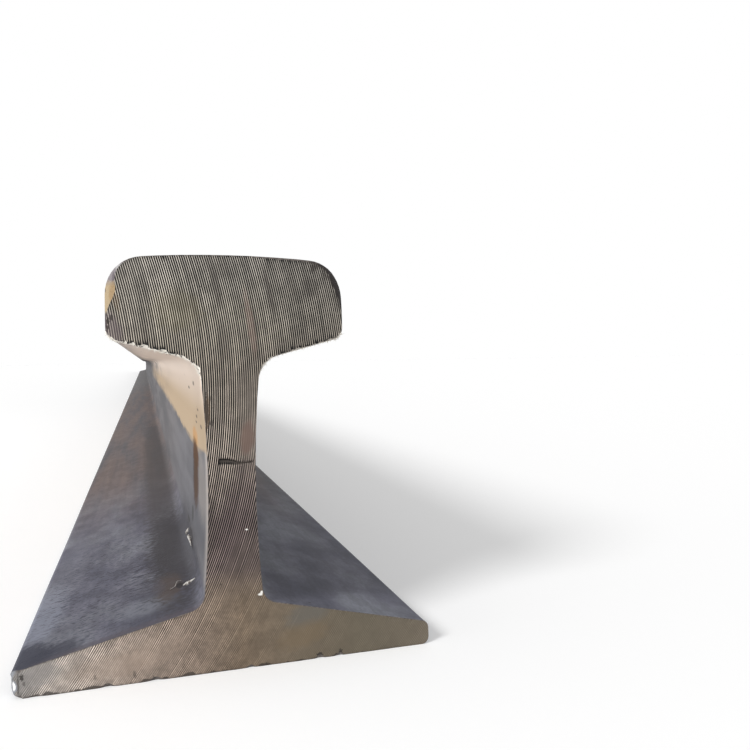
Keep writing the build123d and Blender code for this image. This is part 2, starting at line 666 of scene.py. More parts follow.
rim_share = rim_along / rim_steps.sum()
body_share = np.tile(rim_share[::rim_parts], len(stations))
ring_shares = [rim_share, rim_share, body_share, rim_share, rim_share]
round_share = np.zeros(len(vertices))
round_share[near_middle_at:far_face_at] = np.concatenate(ring_shares)

corner_points = np.concatenate([part.ravel() for part, _ in parts])
face_sizes = np.concatenate([np.full(len(part), part.shape[1]) for part, _ in parts])
face_starts = np.cumsum(face_sizes) - face_sizes
corner_share = round_share[corner_points]
furthest = np.repeat(np.maximum.reduceat(corner_share, face_starts), face_sizes)
corner_share = corner_share + (furthest - corner_share > 0.5)
on_skin = np.repeat(slots == skin_slot, face_sizes)


def picture_places(points):
    """A strip for the skin, by its distance along and round, and a flat view for each of the ends."""
    x, y, z = points.T
    along = np.interp(y - near_end, strip_stations, strip_places)
    skin_place = np.column_stack([along, corner_share * strip_height])
    near_place = near_corner + near_side * np.column_stack([0.5 + x / half_foot / 2, z / half_foot / 2])
    far_place = far_corner + far_side * np.column_stack([0.5 - x / half_foot / 2, z / half_foot / 2])
    end_place = np.where(y[:, None] < 0, near_place, far_place)
    return np.where(on_skin[:, None], skin_place, end_place)


bake_map = rail.data.uv_layers.new(name="OFBake")
bake_places = picture_places(vertices[corner_points] / MM)
bake_map.data.foreach_set("uv", bake_places.astype(np.float32).ravel())
print("mapped corners:", len(corner_points))

# %% [markdown]
# ## Burr and swarf
# Where the teeth left the head, they pushed a fringe of bright splinters over the lower edge, and a few
# chips of swarf lie in the corner between web and foot. Hair could stand for the fringe, but it isn't
# part of a mesh. All of them are flat strips that taper to a point, swept along short curved lines, so
# one function makes them.


# %% Tapered strips
def strips(name, centre, side, thick):
    """Flat bars along lines: each ring of four corners lies at centre plus or minus side and thick.

    The three arrays have the shape (lines, rings, 3), in millimetres.
    """
    lines, rings, _ = centre.shape
    below, above = centre - thick, centre + thick
    corners = np.stack([below - side, below + side, above + side, above - side], axis=2)
    first = (np.arange(lines)[:, None, None] * rings + np.arange(rings - 1)[None, :, None]) * 4
    here = np.arange(4)[None, None, :]
    ahead = (here + 1) % 4
    walls = np.stack([first + here, first + ahead, first + 4 + ahead, first + 4 + here], axis=3)
    line_starts = np.arange(lines)[:, None] * rings * 4
    near_caps = line_starts + np.array([3, 2, 1, 0])
    far_caps = line_starts + (rings - 1) * 4 + np.array([0, 1, 2, 3])
    faces = np.vstack([walls.reshape(-1, 4), near_caps, far_caps])
    return new_mesh(name, corners.reshape(-1, 3) * MM, faces.tolist())


# %% Burr under the head
burr_count, burr_rings, burr_seed = 420, 4, 77
length_shape, length_scale, least_length, right_gain = 2.0, 0.13, 0.12, 1.25
lean_spread, bend_spread = 0.7, 0.35
root_back, root_spread, root_sunk = 0.22, 0.25, 0.12
splinter_widths, splinter_flatness, tip_share = (0.05, 0.16), 0.35, 1.02
curl_back = 0.15

burr_random = np.random.default_rng(burr_seed)
lip_points = np.flatnonzero(under_head > lip_limit)
roots = lip_points[burr_random.integers(0, len(lip_points), burr_count)]
longer = np.where(rim[roots, 0] > 0, right_gain, 1.0)
burr_length = burr_random.gamma(length_shape, length_scale, burr_count) * longer + least_length
burr_lean = burr_random.normal(0, lean_spread, burr_count)
root_places = near_end + root_back + burr_random.uniform(0, root_spread, burr_count)
root_places = np.insert(rim[roots], 1, root_places, axis=1)
burr_bend = burr_random.normal(0, bend_spread, burr_count)
burr_width = burr_random.uniform(*splinter_widths, burr_count)

out = np.insert(rim_normal[roots], 1, 0.0, axis=1)
sideways = np.column_stack([-out[:, 2], 0 * burr_lean, out[:, 0]])
grow = unit(out + burr_lean[:, None] * sideways)
back = np.array([0.0, 1.0, 0.0])
share = np.linspace(0, 1, burr_rings)[None, :, None]
bend = burr_bend[:, None, None] * share**2
path = share * grow[:, None] + bend * sideways[:, None] + curl_back * share**2 * back
path = root_places[:, None] - root_sunk * out[:, None] + burr_length[:, None, None] * path
width = burr_width[:, None, None] * (tip_share - share)
across_strip = np.cross(back, grow)
burr = strips("saw_burr", path, width * across_strip[:, None], splinter_flatness * width * back)
print("splinters of the burr:", burr_count)

# %% Swarf in the corner of the foot
chip_rings, chip_thickness = 13, 0.06
chip_point, chip_roundness = 0.05, 0.8
standing = (0.0, 0.29, 0.96)
lying = (1.0, -0.3, 0.3)


def curl(start, end, bow, half_width, widthwise, fullest):
    """A chip: an arc from start to end, widest at one place along it and pointed at both ends."""
    share = np.linspace(0, 1, chip_rings)[:, None]
    start, end = np.array(start), np.array(end)
    line = start + share * (end - start) + np.sin(pi * share) * np.array(bow)
    along = unit(np.gradient(line, axis=0))
    side = unit(np.cross(along, np.cross(np.array(widthwise), along)))
    taper = np.minimum(share / fullest, (1 - share) / (1 - fullest)).clip(chip_point)
    return line, side * half_width * taper**chip_roundness, np.cross(along, side) * chip_thickness


chips = [
    curl((-11.95, 22.0, 17.1), (-8.45, 21.0, 19.3), (0.15, -0.3, -0.05), 0.52, standing, 0.28),
    curl((-15.6, 24.5, 15.6), (-13.9, 25.9, 16.0), (0.1, 0.0, -0.1), 0.10, standing, 0.6),
    curl((-13.9, 25.9, 16.0), (-11.6, 27.8, 16.7), (-0.4, 1.2, 0.3), 0.10, standing, 0.5),
    curl((-7.6, 70.5, 22.8), (-8.3, 70.5, 20.2), (-0.2, -0.6, 0.0), 0.62, lying, 0.55),
    curl((-8.0, 67.0, 21.2), (-7.9, 52.0, 20.9), (0.1, 0.0, 0.1), 0.58, lying, 0.2),
]
chip_lines, chip_sides, chip_thicks = (np.stack(arrays) for arrays in zip(*chips))
swarf = strips("swarf", chip_lines + [0, near_end, 0], chip_sides, chip_thicks)
print("chips of swarf:", len(chips))

# %% [markdown]
# ## Building blocks of the materials
# Materials are graphs of small nodes. They could be wired by hand, but then the steps couldn't be read
# one by one. A few short functions add a node, do sums and blend colours, so that each material below
# reads as a list of what is seen on the steel. Colours are written as they look on a screen, from 0 to
# 255, and turned into light.


# %% Nodes and sums
def set_input(tree, socket, value):
    """Links a socket, or writes a plain value."""
    if isinstance(value, bpy.types.NodeSocket):
        tree.links.new(value, socket)
    else:
        socket.default_value = value


def set_inputs(tree, node, values):
    """Links or writes several inputs of a node, by name or number."""
    for name, value in values.items():
        set_input(tree, node.inputs[name], value)


def add_node(tree, kind, values=None, **settings):
    """A new node with its settings and its inputs."""
    made = tree.nodes.new(kind)
    for name, value in settings.items():
        setattr(made, name, value)
    set_inputs(tree, made, values or {})
    return made


def calc(tree, operation, first, second=0.0):
    """One sum on two values."""
    return add_node(tree, "ShaderNodeMath", {0: first, 1: second}, operation=operation).outputs[0]


def product(tree, first, *others):
    """Values multiplied one after the other."""
    for other in others:
        first = calc(tree, "MULTIPLY", first, other)
    return first


def remainder(tree, value):
    """1 minus a value."""
    return calc(tree, "SUBTRACT", 1.0, value)


def rise(tree, value, start, end, low=0.0, high=1.0):
    """A smooth rise from low to high while the value goes from start to end."""
    limits = {"From Min": start, "From Max": end, "To Min": low, "To Max": high}
    made = add_node(tree, "ShaderNodeMapRange", interpolation_type="SMOOTHSTEP")
    set_inputs(tree, made, {"Value": value, **limits})
    return made.outputs["Result"]


def vector_calc(tree, operation, first, second):
    """One sum on two vectors."""
    return add_node(tree, "ShaderNodeVectorMath", {0: first, 1: second}, operation=operation).outputs[0]


def scaled(tree, vector, factor):
    """A vector or a colour times a value."""
    made = add_node(tree, "ShaderNodeVectorMath", {0: vector, "Scale": factor}, operation="SCALE")
    return made.outputs[0]


def millimetres(tree):
    """The point on the rail in millimetres with y counted from the near end, and its three parts."""
    where = add_node(tree, "ShaderNodeTexCoord").outputs["Object"]
    moved = vector_calc(tree, "ADD", scaled(tree, where, 1 / MM), (0, -near_end, 0))
    return moved, *add_node(tree, "ShaderNodeSeparateXYZ", {0: moved}).outputs


# %% Colours
full_light = (1, 1, 1, 1)


def screen_colour(red, green, blue):
    """A colour as a screen shows it, 0 to 255, turned into linear light."""
    share = np.array([red, green, blue]) / 255
    light = np.where(share <= 0.04045, share / 12.92, ((share + 0.055) / 1.055) ** 2.4)
    return (*light.tolist(), 1.0)


def blend(tree, share, first, second):
    """Two colours blended by a share from 0 to 1."""
    made = add_node(tree, "ShaderNodeMix", data_type="RGBA")
    set_inputs(tree, made, {0: share, 6: first, 7: second})
    return made.outputs[2]


def tinted(tree, share, colour, tint):
    """A colour with a share of a screen colour in it."""
    return blend(tree, share, colour, screen_colour(*tint))


def colour_ramp(tree, value, stops):
    """Screen colours at places from 0 to 1, blended between them."""
    made = add_node(tree, "ShaderNodeValToRGB", {"Fac": value})
    ramp = made.color_ramp
    while len(ramp.elements) < len(stops):
        ramp.elements.new(0.5)
    for element, (place, tint) in zip(ramp.elements, stops):
        element.position = place
        element.color = screen_colour(*tint)
    return made.outputs["Color"]


def new_material(name):
    """A material with its node tree and its surface shader."""
    made = bpy.data.materials.new(name)
    made.use_nodes = True
    return made, made.node_tree, made.node_tree.nodes["Principled BSDF"]


print("half grey on a screen is", round(screen_colour(128, 128, 128)[0], 3), "of the light")

# %% [markdown]
# ## Shared effects
# Stains, streaks and specks turn up on the sawn face, on the bevel and on the rolled skin alike. Each
# material could hold its own copy of those nodes, but one node group for each effect is shorter, and a
# change to it reaches every finish. A group gives a mask or a value, and each material uses it with its
# own sizes.


# %% Node groups for stains, streaks and specks
def new_group(name, inputs, output):
    """An empty node group with named inputs and one output."""
    group = bpy.data.node_groups.new(name, "ShaderNodeTree")
    for label, kind, value in [("Position", "Vector", (0, 0, 0)), *inputs]:
        socket = group.interface.new_socket(label, in_out="INPUT", socket_type="NodeSocket" + kind)
        socket.default_value = value
    group.interface.new_socket(output, in_out="OUTPUT", socket_type="NodeSocketFloat")
    entry = group.nodes.new("NodeGroupInput")
    leave = group.nodes.new("NodeGroupOutput")
    return group, entry.outputs, leave.inputs


def make_patch_group():
    """A soft spot: 1 within a stretched ball, 0 outside, its edge pushed about by noise."""
    inputs = [("Centre", "Vector", (0, 0, 0)), ("Size", "Vector", (1, 1, 1))]
    inputs += [("Ragged", "Float", 0.5), ("Soft", "Float", 0.3), ("Grain", "Float", 0.6)]
    group, entry, leave = new_group("ragged_patch", inputs, "Mask")
    offset = vector_calc(group, "SUBTRACT", entry["Position"], entry["Centre"])
    offset = vector_calc(group, "DIVIDE", offset, entry["Size"])
    length = add_node(group, "ShaderNodeVectorMath", {0: offset}, operation="LENGTH").outputs["Value"]
    noise = {"Vector": entry["Position"], "Scale": entry["Grain"], "Detail": 3.0}
    noise = add_node(group, "ShaderNodeTexNoise", noise).outputs[0]
    swing = product(group, calc(group, "SUBTRACT", noise, 0.5), entry["Ragged"], 2.0)
    distance = calc(group, "ADD", length, swing)
    outer = calc(group, "ADD", 1.0, entry["Soft"])
    group.links.new(rise(group, distance, outer, remainder(group, entry["Soft"])), leave[0])
    return group


def make_streak_group():
    """Cloudy noise from 0 to 1 in a space stretched by a vector, for streaks and bands."""
    inputs = [("Stretch", "Vector", (1, 1, 1)), ("Detail", "Float", 2.0)]
    group, entry, leave = new_group("streaks", inputs, "Value")
    place = vector_calc(group, "MULTIPLY", entry["Position"], entry["Stretch"])
    noise = {"Vector": place, "Scale": 1.0, "Detail": entry["Detail"]}
    group.links.new(add_node(group, "ShaderNodeTexNoise", noise).outputs[0], leave[0])
    return group


def make_speck_group():
    """Small scattered spots: one in each cell of a grid, each of its own size, many of them none."""
    inputs = [("Spacing", "Float", 4.0), ("Size", "Float", 0.2)]
    group, entry, leave = new_group("specks", inputs, "Mask")
    cells = {"Vector": entry["Position"], "Scale": calc(group, "DIVIDE", 1.0, entry["Spacing"])}
    cells = add_node(group, "ShaderNodeTexVoronoi", cells).outputs
    chance = add_node(group, "ShaderNodeSeparateXYZ", {0: cells["Color"]}).outputs[0]
    reach = product(group, calc(group, "SUBTRACT", chance, 0.45), entry["Size"])
    group.links.new(rise(group, cells["Distance"], calc(group, "ADD", reach, 0.03), reach), leave[0])
    return group


patch_group = make_patch_group()
streak_group = make_streak_group()
speck_group = make_speck_group()
print("node groups:", [group.name for group in bpy.data.node_groups])


# %% The groups in a material
def use_group(tree, group, **values):
    """Places a group in a material and returns its output."""
    made = add_node(tree, "ShaderNodeGroup", node_tree=group)
    set_inputs(tree, made, values)
    return made.outputs[0]


def streaks(tree, position, stretch, detail):
    """Streaks that are short where the stretch is large."""
    return use_group(tree, streak_group, Position=position, Stretch=stretch, Detail=detail)


def specks(tree, position, spacing, size):
    """Scattered specks about as far apart as the spacing."""
    return use_group(tree, speck_group, Position=position, Spacing=spacing, Size=size)


def patch(tree, position, centre, size, ragged=0.5, soft=0.4, grain=0.6):
    """One ragged patch of a size round a centre."""
    edge = {"Ragged": ragged, "Soft": soft, "Grain": grain}
    return use_group(tree, patch_group, Position=position, Centre=centre, Size=size, **edge)


def one_tint(spots, tint):
    """Spots that share a tint."""
    return [(centre, size, tint, share) for centre, size, share in spots]


def stains(tree, colour, position, spots, **edge):
    """Blends spots into a colour, each with its centre, its size, its tint and the tint's share."""
    for centre, size, tint, share in spots:
        mask = patch(tree, position, centre, size, **edge)
        colour = tinted(tree, product(tree, mask, share), colour, tint)
    return colour


# %% [markdown]
# ## Sawn steel
# The crests of the grooves are bright cut metal and the bottoms hold rust and dirt, and on top of
# that the crests carry a painted glint and the bottoms a painted shade, far stronger than the soft light
# gives the relief. A picture of sawn steel could be laid on the end, but its lines wouldn't meet the
# relief. So the colour follows the same groove height that shapes the mesh. Under it lie slow changes
# of tone: neutral grey on the head, purple-brown down the web, dusty beige on the left of the foot and
# olive-brown on its right.

# %% Slow tones of the sawn end
# Numbers given to a rise are places in millimetres, or limits of a noise, and then what it rises to.
height_tones = [
    (0.00, (118, 104, 89)),
    (0.13, (115, 102, 90)),
    (0.24, (90, 79, 75)),
    (0.36, (86, 76, 73)),
    (0.46, (109, 100, 93)),
    (0.62, (111, 103, 95)),
    (0.74, (107, 100, 92)),
    (0.86, (110, 105, 97)),
    (0.98, (107, 103, 97)),
]
foot_tones = [
    (0.00, (139, 135, 132)),
    (0.10, (167, 157, 149)),
    (0.25, (153, 139, 128)),
    (0.40, (130, 115, 103)),
    (0.52, (117, 102, 86)),
    (0.66, (112, 101, 86)),
    (0.82, (105, 97, 83)),
    (1.00, (112, 103, 90)),
]
sawn_end, tree, surface = new_material("sawn_end")
position, x, y, z = millimetres(tree)
saw_vector = add_node(tree, "ShaderNodeAttribute", attribute_name="saw").outputs["Vector"]
across, crest, strength = add_node(tree, "ShaderNodeSeparateXYZ", {0: saw_vector}).outputs
along_grooves = add_node(tree, "ShaderNodeCombineXYZ", {0: across, 1: 0.0, 2: z}).outputs[0]

foot_place = calc(tree, "ADD", calc(tree, "DIVIDE", x, 2 * half_foot), 0.5)
foot_tone = colour_ramp(tree, foot_place, foot_tones)
tone = colour_ramp(tree, calc(tree, "DIVIDE", z, rail_height), height_tones)
tone = blend(tree, rise(tree, z, 28, 15), tone, foot_tone)
side_light = calc(tree, "ADD", rise(tree, x, -8, 30, 0.0, -0.30), rise(tree, x, -10, -28, 0.05, 0.20))
side_light = product(tree, side_light, rise(tree, z, 70, 84))
tone = scaled(tree, tone, calc(tree, "ADD", side_light, 1.0))
print("tones up the end:", len(height_tones), "and along the foot:", len(foot_tones))

# %% Bands, clouds and groove light
wide_bands = streaks(tree, along_grooves, (0.11, 1.0, 0.04), 2.0)
thin_bands = streaks(tree, along_grooves, (0.8, 1.0, 0.05), 2.0)
wide_light = rise(tree, wide_bands, 0.3, 0.7, 0.86, 1.14)
band_light = calc(tree, "ADD", wide_light, rise(tree, thin_bands, 0.25, 0.75, -0.04, 0.04))
tone = scaled(tree, tone, blend(tree, strength, full_light, band_light))

cloud_light = rise(tree, streaks(tree, position, (0.25, 1.0, 0.25), 4.0), 0.3, 0.7, 0.83, 1.17)
calm_foot = product(tree, rise(tree, z, 20, 14), rise(tree, x, 4, 20, 0.0, 0.7))
tone = scaled(tree, tone, blend(tree, calm_foot, cloud_light, full_light))
mottle_light = rise(tree, streaks(tree, position, (0.9, 1.0, 0.9), 4.0), 0.3, 0.7, 0.88, 1.12)
mottle_share = product(tree, rise(tree, z, 26, 14, 0.35, 1.0), rise(tree, x, 22, -2, 0.2, 1.0))
tone = scaled(tree, tone, blend(tree, mottle_share, full_light, mottle_light))

foot_dust = rise(tree, streaks(tree, position, (0.11, 1.0, 0.2), 4.0), 0.42, 0.6)
foot_dust = product(tree, foot_dust, rise(tree, z, 26, 14), 0.35)
strength = product(tree, strength, remainder(tree, foot_dust))
# Painted glint and shade: the crests are lifted up to nearly five times their tone and the groove bottoms go
# black.
groove_light = blend(tree, strength, full_light, rise(tree, crest, 0.52, 0.975, 0.0, 4.8))
print("nodes of the sawn end so far:", len(tree.nodes))

# %% [markdown]
# Smudges run along the grooves, because dirt was dragged by the saw and settles in its marks. They
# could be painted by hand. But a round spot placed by the distance across the grooves bends with them,
# so a short list will do. Crumbs of dirt, bright flecks and a painted shade over the right corner of
# the head lie on top and keep to straight directions.

# %% Smudges along the grooves
# One dark tint serves the smudges and dirt and also the painted shade at the head's corner.
dark_smudge_and_shade = (52, 47, 44)
pink_smudge = (130, 109, 100)
dusty_grey = (142, 139, 137)
purple_brown = (72, 61, 61)
warm_dust = (168, 149, 134)
face_reach = 100.0

web_shade = [((1.2, 41.0), (4.0, 13.0), purple_brown, 0.6)]
smudges = [
    ((-13.0, 93.5), (6.0, 5.0), (128, 118, 82), 0.16),
    ((-3.2, 99.6), (1.0, 4.5), dark_smudge_and_shade, 0.45),
    ((-1.4, 86.0), (1.4, 5.0), dark_smudge_and_shade, 0.35),
    ((-3.0, 105.0), (3.0, 4.0), dark_smudge_and_shade, 0.30),
    ((10.8, 97.5), (0.8, 6.0), dark_smudge_and_shade, 0.55),
    ((16.5, 101.0), (0.9, 3.0), dark_smudge_and_shade, 0.35),
    ((21.5, 100.0), (2.4, 2.4), dark_smudge_and_shade, 0.35),
    ((5.6, 90.0), (0.9, 8.0), pink_smudge, 0.40),
    ((4.2, 60.5), (1.8, 4.4), (116, 95, 86), 0.75),
    ((-28.9, 88.6), (2.6, 4.2), (112, 99, 103), 0.50),
    ((-27.6, 96.0), (0.8, 2.8), (112, 84, 44), 0.22),
    ((-48.0, 5.0), (5.0, 3.5), dusty_grey, 0.60),
    ((-30.0, 5.0), (9.0, 3.0), warm_dust, 0.30),
    ((-20.0, 7.5), (7.0, 4.0), warm_dust, 0.25),
    ((19.3, 12.2), (5.0, 3.4), (101, 99, 94), 0.65),
    ((18.0, 7.0), (6.0, 3.5), (118, 101, 78), 0.45),
    ((-5.9, 67.5), (0.6, 4.2), (100, 77, 54), 0.60),
]


def on_face(spots):
    """Spots of the flat face given by x and z, with a size that reaches right through it."""
    return [((x, 0, z), (wide, face_reach, high), *rest) for (x, z), (wide, high), *rest in spots]


def across_saw(spots):
    """Spots of the flat face, moved to their distance across the grooves."""
    return on_face([((x - float(arc_shift(z)), z), *rest) for (x, z), *rest in spots])


tone = stains(tree, tone, along_grooves, across_saw(web_shade))
tone = scaled(tree, tone, groove_light)
tone = stains(tree, tone, along_grooves, across_saw(smudges))
print("smudges:", len(smudges))

# %% Dirt, bright flecks and painted shade at the head's corner
dirt_flecks = [
    ((-50.9, 5.2), (0.45, 0.7), 0.85),
    ((-50.4, 3.6), (0.35, 0.5), 0.50),
    ((-51.7, 3.4), (0.25, 2.6), 0.60),
    ((-34.4, 2.8), (0.35, 0.5), 0.40),
    ((-25.0, 2.2), (0.4, 1.0), 0.40),
    ((22.5, 0.9), (0.8, 0.6), 0.90),
    ((28.3, 1.0), (0.5, 0.8), 0.85),
    ((-6.0, 50.7), (0.45, 0.8), 0.85),
    ((-5.9, 45.1), (0.4, 0.7), 0.80),
    ((-6.0, 47.5), (0.3, 3.0), 0.50),
    ((36.5, 11.0), (0.6, 0.8), 0.35),
    ((-6.1, 67.5), (0.45, 4.5), 0.65),
    ((-5.0, 64.6), (0.35, 0.9), 0.65),
    ((-5.2, 71.0), (0.3, 0.7), 0.55),
    ((-29.5, 91.0), (0.4, 0.8), 0.85),
    ((-28.6, 91.7), (0.3, 0.7), 0.80),
    ((-29.6, 89.3), (0.3, 0.5), 0.80),
]
bright_metal = (240, 238, 232)
bright_flecks = [
    ((3.5, 36.5), (0.32, 0.24), 1.0),
    ((6.7, 19.1), (0.62, 0.34), 1.0),
    ((7.1, 19.6), (0.34, 0.42), 1.0),
]
corner_drop, corner_radius = 11.0, 8.0
scratch_tint, scratch_width = (186, 168, 146), 0.05
scratches = [
    ((17.6, 11.0), (scratch_width, 8.0), 0.60),
    ((15.0, 9.0), (scratch_width, 7.0), 0.28),
    ((20.6, 12.0), (scratch_width, 6.0), 0.30),
    ((32.5, 11.0), (scratch_width, 3.0), 0.25),
]

# Painted shade: the sawn face at the head's top right corner, outside a circle, is darkened.
corner_middle = (half_head - head_top_radius, 0, rail_height - corner_drop)
corner_size = (corner_radius, face_reach, corner_radius)
corner_painted_shade = remainder(tree, patch(tree, position, corner_middle, corner_size, soft=0.2))
corner_painted_shade = product(tree, corner_painted_shade, rise(tree, z, 92, 98), rise(tree, x, 19, 23, 0.0, 0.8))
tone = tinted(tree, corner_painted_shade, tone, dark_smudge_and_shade)
flecks = on_face(one_tint(dirt_flecks, dark_smudge_and_shade))
tone = stains(tree, tone, position, flecks, ragged=1.1, soft=0.2, grain=2.2)

ragged_edge = streaks(tree, position, (0.21, 1.0, 0.1), 8.0)
dirt_height = rise(tree, ragged_edge, 0.45, 0.68, 0.08, 1.0)
bottom_dirt = rise(tree, calc(tree, "SUBTRACT", dirt_height, z), -0.2, 0.1)
tone = tinted(tree, product(tree, bottom_dirt, rise(tree, x, 40, 32, 0.15, 0.8)), tone, dark_smudge_and_shade)

flecks = on_face(one_tint(bright_flecks, bright_metal))
tone = stains(tree, tone, position, flecks, ragged=0.9, soft=0.25, grain=1.5)
tone = stains(tree, tone, along_grooves, on_face(one_tint(scratches, scratch_tint)), ragged=0.25)
tone = tinted(tree, product(tree, specks(tree, position, 3.4, 0.10), 0.6), tone, dark_smudge_and_shade)
sawn_finish = {"Base Color": tone, "Metallic": 0.15, "Roughness": 0.62, "Specular IOR Level": 0.3}
set_inputs(tree, surface, sawn_finish)
print("flecks:", len(dirt_flecks) + len(bright_flecks), "scratches:", len(scratches))

# %% [markdown]
# ## The bevel
# The broken rim shows clean or scaly steel by turns: rust-yellow where the head was knocked on its
# left, with pale lavender and cream there that are painted sunlight, a painted shade that makes it almost
# black on its right, and bare bright metal with a painted highlight at the left tip of the foot. A
# colour painted on each point would be as coarse as the ring, so spots and noise are used here too.

# %% Cut edge
edge_tones = [(0.0, (70, 64, 62)), (0.6, (104, 97, 92)), (1.0, (128, 121, 115))]
edge_spots = [
    # Painted sunlight: the pale lavender, pale grey and cream spots on the head's knocked left bevel.
    ((-29, 0, 102.0), (6, 9, 4.0), (132, 125, 128), 0.95),
    ((-26.3, 0, 104.0), (1.0, 9, 1.2), (178, 176, 176), 0.80),
    ((-28.0, 0, 101.0), (0.35, 9, 2.0), (84, 74, 80), 0.70),
    ((-30, 0, 96.8), (6, 9, 3.6), (172, 152, 120), 0.95),
    ((-28.3, 0, 97.5), (0.9, 9, 2.6), (146, 115, 74), 0.60),
    ((-30.2, 0, 98.6), (0.3, 9, 0.7), (58, 50, 46), 0.80),
    ((-30, 0, 90.0), (5, 9, 2.2), (66, 54, 60), 0.90),
    # Painted shade: the head's right bevel, almost black.
    ((27, 0, 100.0), (8, 9, 9.0), (32, 26, 25), 0.95),
    ((-54, 0, 3.5), (2.5, 9, 4.0), (118, 121, 128), 0.90),
    # Painted highlight on the bare metal at the left tip of the foot.
    ((-53.0, 0, 2.6), (0.6, 9, 0.8), (236, 236, 236), 1.00),
    ((53.9, 0, 3.6), (1.0, 9, 2.2), (156, 148, 138), 0.80),
]
cut_edge, tree, surface = new_material("cut_edge")
position, x, y, z = millimetres(tree)
edge_grain = streaks(tree, position, (1.4, 1.4, 1.4), 4.0)
lip_grain = streaks(tree, position, (1.3, 1.3, 1.3), 2.0)
lip_white = blend(tree, rise(tree, x, -2, 2), screen_colour(240, 234, 224), screen_colour(178, 171, 162))
lip_tone = blend(tree, rise(tree, lip_grain, 0.36, 0.46), screen_colour(74, 66, 60), lip_white)
lip_share = product(tree, rise(tree, z, 73, 75), rise(tree, z, 88.5, 87))
tone = colour_ramp(tree, rise(tree, edge_grain, 0.25, 0.75), edge_tones)
tone = blend(tree, lip_share, tone, lip_tone)
tone = stains(tree, tone, position, edge_spots, ragged=0.35, soft=0.25)
set_inputs(tree, surface, {"Base Color": tone, "Roughness": 0.6, "Specular IOR Level": 0.3})
print("spots on the bevel:", len(edge_spots))

# %% [markdown]
# ## Rolled skin
# Hot rolling leaves a thin skin of blue-grey oxide, drawn out along the bar. Near the end it is scored by
# short strokes across the foot, further back it turns mauve-brown. Noise stretched along the bar gives
# the drawn-out bands at any distance, where a picture would run out of sharpness over six metres.

# %% Scale of the rolled skin
near_tones = [(0.0, (68, 69, 82)), (0.5, (90, 90, 102)), (1.0, (110, 112, 121))]
far_tones = [(0.0, (76, 73, 76)), (0.5, (90, 80, 79)), (1.0, (97, 84, 80))]
web_tones = [(0.0, (74, 74, 77)), (0.5, (86, 85, 88)), (1.0, (100, 99, 102))]
distant_tone = (97, 96, 97)

rolled_skin, tree, surface = new_material("rolled_skin")
position, x, y, z = millimetres(tree)
long_bands = streaks(tree, position, (0.09, 0.006, 0.09), 4.0)
fine_bands = streaks(tree, position, (0.5, 0.012, 0.5), 3.0)
blotches = streaks(tree, position, (0.05, 0.03, 0.05), 5.0)
flakes = streaks(tree, position, (0.16, 0.07, 0.16), 5.0)
grit = streaks(tree, position, (1.3, 0.5, 1.3), 4.0)
long_share = rise(tree, long_bands, 0.3, 0.7)
near_tone = colour_ramp(tree, rise(tree, blotches, 0.32, 0.68), near_tones)
far_tone = colour_ramp(tree, long_share, far_tones)
web_tone = colour_ramp(tree, long_share, web_tones)
tone = blend(tree, rise(tree, y, 90, 300), near_tone, far_tone)
tone = tinted(tree, rise(tree, y, 900, 2600, 0.0, 0.8), tone, distant_tone)
tone = scaled(tree, tone, rise(tree, fine_bands, 0.3, 0.7, 0.93, 1.07))
tone = scaled(tree, tone, rise(tree, flakes, 0.46, 0.54, 0.90, 1.08))
tone = scaled(tree, tone, rise(tree, grit, 0.3, 0.7, 0.91, 1.09))
print("nodes of the rolled skin so far:", len(tree.nodes))

# %% Strokes and spots on the skin
stroke_tint = (50, 50, 63)
near_edge_highlight_tint = (168, 160, 154)
mark_and_shadow_tint = (34, 30, 32)
light_spots = [
    ((-50, 40, 7), (5, 26, 5), (126, 130, 143), 0.75),
    ((-47, 85, 8), (5, 40, 5), (110, 111, 122), 0.40),
    ((-22, 17, 13.6), (9, 7, 5), (112, 115, 124), 0.70),
]
stroke_sets = [
    ((-22, 48, 14), (7, 24, 8), (0.26, 1.05, 0.26), 0.95),
    ((-36, 58, 11), (19, 60, 12), (0.55, 1.35, 0.55), 0.75),
]
skin_spots = [
    ((-7, 22, 45), (4, 18, 9), (138, 131, 126), 0.50),
    ((-15, 300, 16), (8, 310, 6), (54, 50, 51), 0.70),
    ((-13, 72, 19), (10, 64, 9), (42, 40, 45), 0.80),
    ((-16, 28, 16), (4, 12, 4), (78, 66, 60), 0.55),
    ((-21, 30, 14.6), (4, 8, 4), (66, 66, 76), 0.50),
    ((-51, 6, 7), (7, 11, 7), (38, 40, 54), 0.92),
    ((-44, 4, 8), (7, 7, 7), (38, 40, 54), 0.80),
    ((-20, 0, 13), (30, 3.5, 12), (74, 68, 76), 0.70),
]
# Dark spots on the skin: the second and third, beside the lying chips of swarf, are painted shadows of the
# chips; the others are dark marks.
marks_and_chip_shadows = [
    ((-12.7, 26.0, 16.1), (0.95, 2.6, 2.0), 0.95),
    ((-7.4, 60, 23), (1.5, 9.0, 1.3), 0.85),
    ((-7.5, 54, 21), (1.5, 7.0, 1.0), 0.85),
    ((-7.0, 59, 30.2), (2.0, 4.5, 2.8), 0.70),
    ((-7.2, 76, 24.9), (2.0, 5.0, 0.8), 0.75),
]

tone = stains(tree, tone, position, light_spots)
stroke_mask = 0.0
for middle, size, stretch, share in stroke_sets:
    strokes = rise(tree, streaks(tree, position, stretch, 4.0), 0.53, 0.61, 0.0, share)
    strokes = product(tree, strokes, patch(tree, position, middle, size, ragged=0.7, soft=0.5))
    stroke_mask = calc(tree, "MAXIMUM", stroke_mask, strokes)
tone = tinted(tree, stroke_mask, tone, stroke_tint)

web_share = product(tree, rise(tree, z, 19, 24), rise(tree, z, 84, 76))
tone = blend(tree, product(tree, web_share, 0.85), tone, web_tone)
